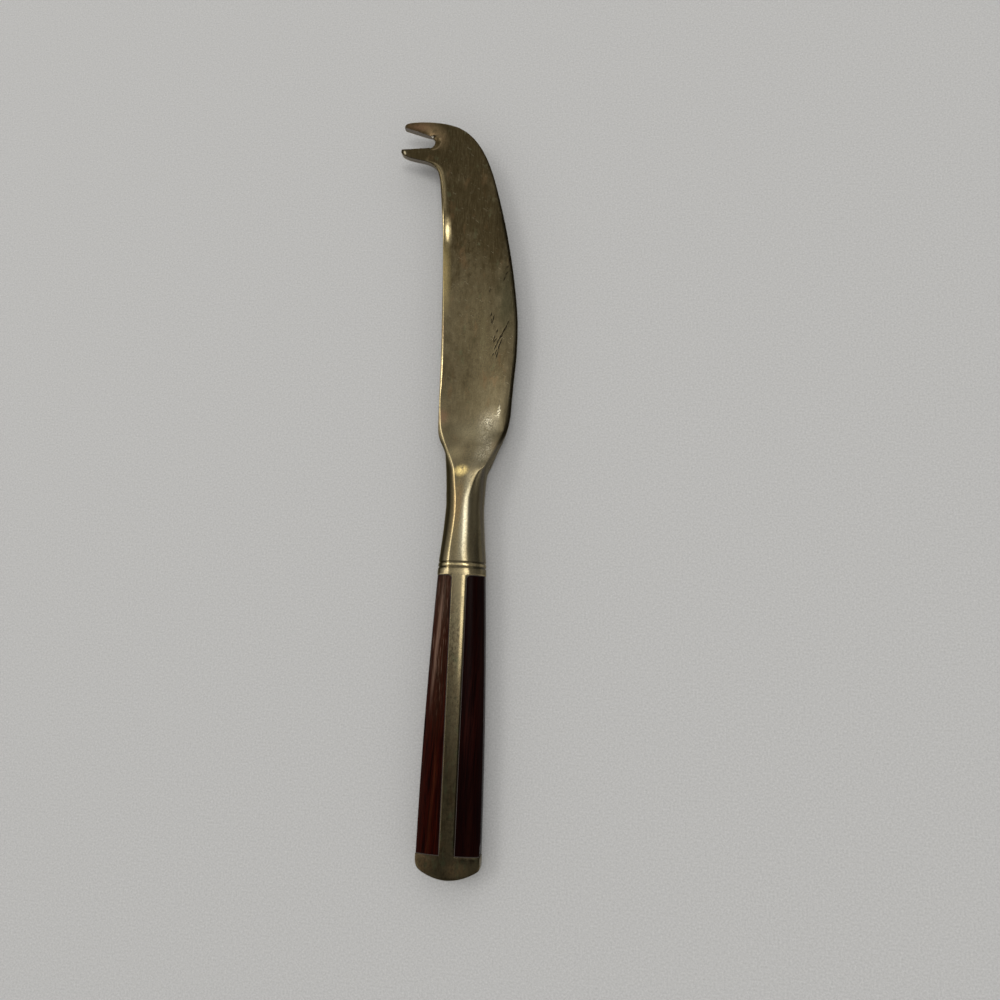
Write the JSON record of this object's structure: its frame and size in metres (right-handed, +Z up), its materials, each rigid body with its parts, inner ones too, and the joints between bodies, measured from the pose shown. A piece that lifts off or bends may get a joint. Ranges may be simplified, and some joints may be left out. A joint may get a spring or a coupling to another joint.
{
  "type": "cheese knife",
  "caption": "Cheese knife with an upturned forked tip, a curved cutting edge and a bronze handle inlaid with wood.",
  "frame": {"origin": "centre of the outline, at the height of the flat underside of the handle", "axes": "+Y from the butt towards the forked tip, +X towards the cutting edge, +Z up out of the face that the picture shows"},
  "size_m": [0.0376, 0.2155, 0.0092],
  "materials": {
    "bronze": "satin bronze, brushed on the blade, with an olive-brown patina",
    "rosewood": "dark red-brown hardwood, oiled and smooth",
    "adhesive": "dark cured adhesive"
  },
  "bodies": {
    "root": {"cast_body": "bronze", "spine_side_inlay": "rosewood", "edge_side_inlay": "rosewood", "spine_side_adhesive": "adhesive", "edge_side_adhesive": "adhesive"}
  },
  "joints": []
}
